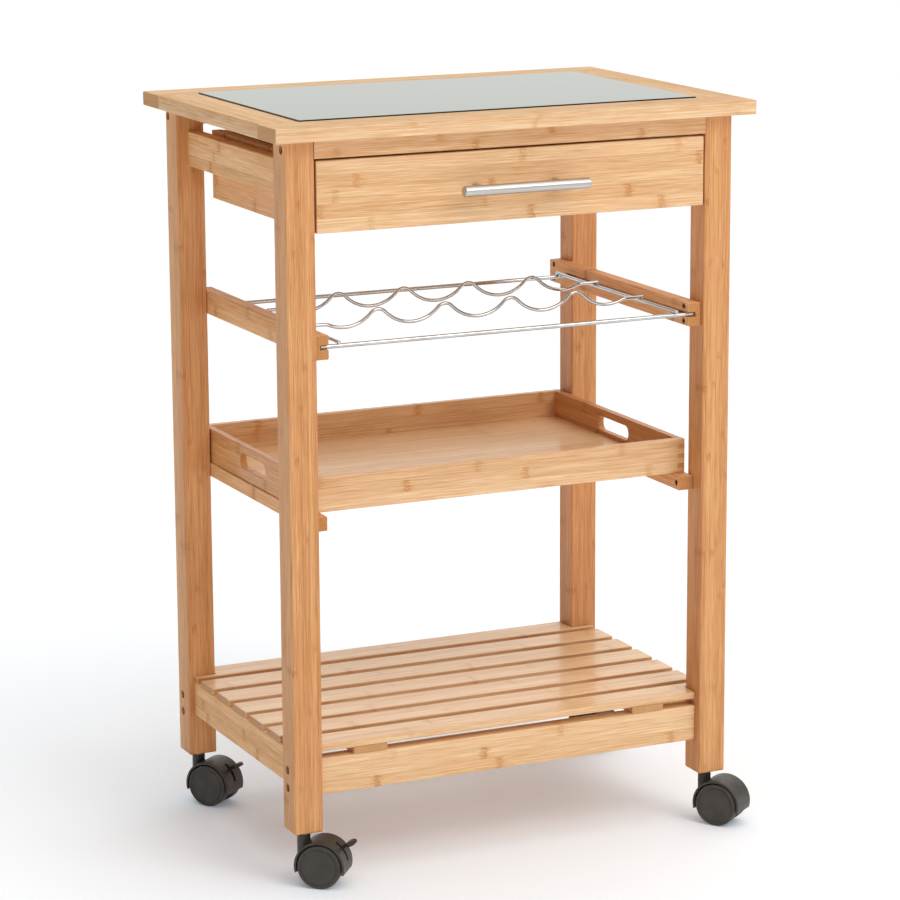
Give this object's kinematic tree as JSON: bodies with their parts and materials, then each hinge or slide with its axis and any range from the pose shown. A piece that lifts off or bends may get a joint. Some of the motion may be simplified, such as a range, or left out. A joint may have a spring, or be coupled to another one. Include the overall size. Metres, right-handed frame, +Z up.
{
  "type": "kitchen cart",
  "caption": "Bamboo kitchen cart on swivel casters with a glass-inlaid top, a drawer, a sliding wire bottle rack, a lift-out tray and a slatted bottom shelf.",
  "frame": {"origin": "on the floor, under the centre of the table top", "axes": "+X to the right seen from the drawer side, -Y to the front, +Z up"},
  "size_m": [0.5888, 0.419, 0.8493],
  "materials": {
    "bamboo": "satin clear lacquer over laminated strips",
    "bamboo_panel": "satin lacquered thin panel",
    "beech": "plain, unfinished",
    "black_glass": "polished, backed in black",
    "chrome_wire": "bright plated",
    "handle_steel": "brushed along its length",
    "fastener_steel": "dark zinc",
    "caster_steel": "zinc plated",
    "caster_plastic": "moulded, fine matt"
  },
  "bodies": {
    "frame": {"leg_front_left": "bamboo", "leg_front_right": "bamboo", "leg_back_left": "bamboo", "leg_back_right": "bamboo", "apron_left": "bamboo", "apron_right": "bamboo", "lower_side_rail_left": "bamboo", "lower_side_rail_right": "bamboo", "wine_rail_left": "bamboo", "wine_rail_right": "bamboo", "top_rail_front": "bamboo", "top_rail_back": "bamboo", "lower_rail_front": "bamboo", "lower_rail_back": "bamboo", "tray_rails": "bamboo", "drawer_runners": "bamboo", "table_rail_front": "bamboo", "table_rail_back": "bamboo", "table_rail_left": "bamboo", "table_rail_right": "bamboo", "table_panel": "bamboo", "shelf_slats": "bamboo", "shelf_battens": "bamboo", "table_glass": "black_glass", "frame_bolts": "fastener_steel", "barrel_nuts": "fastener_steel", "frame_dowels": "beech", "wood_screws": "fastener_steel", "caster_stems": "caster_steel"},
    "drawer": {"drawer_front": "bamboo", "drawer_side_left": "bamboo", "drawer_side_right": "bamboo", "drawer_back": "bamboo", "drawer_bottom": "bamboo_panel", "handle_bar": "handle_steel", "handle_posts": "handle_steel", "handle_screws": "fastener_steel"},
    "bottle_rack": {"rack_cross_wires": "chrome_wire", "rack_side_wires": "chrome_wire", "rack_wave_front": "chrome_wire", "rack_wave_back": "chrome_wire"},
    "tray": {"tray_front": "bamboo", "tray_back": "bamboo", "tray_left": "bamboo", "tray_right": "bamboo", "tray_base": "bamboo_panel"},
    "caster_front_left": {"caster_hood_front_left": "caster_plastic", "caster_axle_front_left": "caster_steel"},
    "wheels_front_left": {"caster_wheels_front_left": "caster_plastic"},
    "brake_front_left": {"brake_lever_front_left": "caster_plastic"},
    "caster_front_right": {"caster_hood_front_right": "caster_plastic", "caster_axle_front_right": "caster_steel"},
    "wheels_front_right": {"caster_wheels_front_right": "caster_plastic"},
    "caster_back_left": {"caster_hood_back_left": "caster_plastic", "caster_axle_back_left": "caster_steel"},
    "wheels_back_left": {"caster_wheels_back_left": "caster_plastic"},
    "brake_back_left": {"brake_lever_back_left": "caster_plastic"},
    "caster_back_right": {"caster_hood_back_right": "caster_plastic", "caster_axle_back_right": "caster_steel"},
    "wheels_back_right": {"caster_wheels_back_right": "caster_plastic"}
  },
  "joints": [
    {"name": "drawer_slide", "type": "slide", "parent": "frame", "child": "drawer", "axis": [0, -1, 0], "range_m": [0, 0.24]},
    {"name": "bottle_rack_slide", "type": "slide", "parent": "frame", "child": "bottle_rack", "axis": [0, -1, 0], "range_m": [0, 0.28]},
    {"name": "tray_slide", "type": "slide", "parent": "frame", "child": "tray", "axis": [0, -1, 0], "range_m": [0, 0.15]},
    {"name": "swivel_front_left", "type": "hinge", "parent": "frame", "child": "caster_front_left", "pos_m": [-0.254, -0.1635, 0.047], "axis": [0, 0, 1], "continuous": true},
    {"name": "spin_front_left", "type": "hinge", "parent": "caster_front_left", "child": "wheels_front_left", "pos_m": [-0.2369, -0.17735, 0.025], "axis": [-0.6293, -0.7771, 0], "continuous": true},
    {"name": "brake_front_left", "type": "hinge", "parent": "caster_front_left", "child": "brake_front_left", "pos_m": [-0.2369, -0.17735, 0.025], "axis": [-0.6293, -0.7771, 0], "range_deg": [-25, 12]},
    {"name": "swivel_front_right", "type": "hinge", "parent": "frame", "child": "caster_front_right", "pos_m": [0.254, -0.1635, 0.047], "axis": [0, 0, 1], "continuous": true},
    {"name": "spin_front_right", "type": "hinge", "parent": "caster_front_right", "child": "wheels_front_right", "pos_m": [0.26724, -0.18107, 0.025], "axis": [-0.7986, -0.6018, 0], "continuous": true},
    {"name": "swivel_back_left", "type": "hinge", "parent": "frame", "child": "caster_back_left", "pos_m": [-0.254, 0.1635, 0.047], "axis": [0, 0, 1], "continuous": true},
    {"name": "spin_back_left", "type": "hinge", "parent": "caster_back_left", "child": "wheels_back_left", "pos_m": [-0.24076, 0.14593, 0.025], "axis": [-0.7986, -0.6018, 0], "continuous": true},
    {"name": "brake_back_left", "type": "hinge", "parent": "caster_back_left", "child": "brake_back_left", "pos_m": [-0.24076, 0.14593, 0.025], "axis": [-0.7986, -0.6018, 0], "range_deg": [-25, 12]},
    {"name": "swivel_back_right", "type": "hinge", "parent": "frame", "child": "caster_back_right", "pos_m": [0.254, 0.1635, 0.047], "axis": [0, 0, 1], "continuous": true},
    {"name": "spin_back_right", "type": "hinge", "parent": "caster_back_right", "child": "wheels_back_right", "pos_m": [0.26724, 0.14593, 0.025], "axis": [-0.7986, -0.6018, 0], "continuous": true}
  ]
}
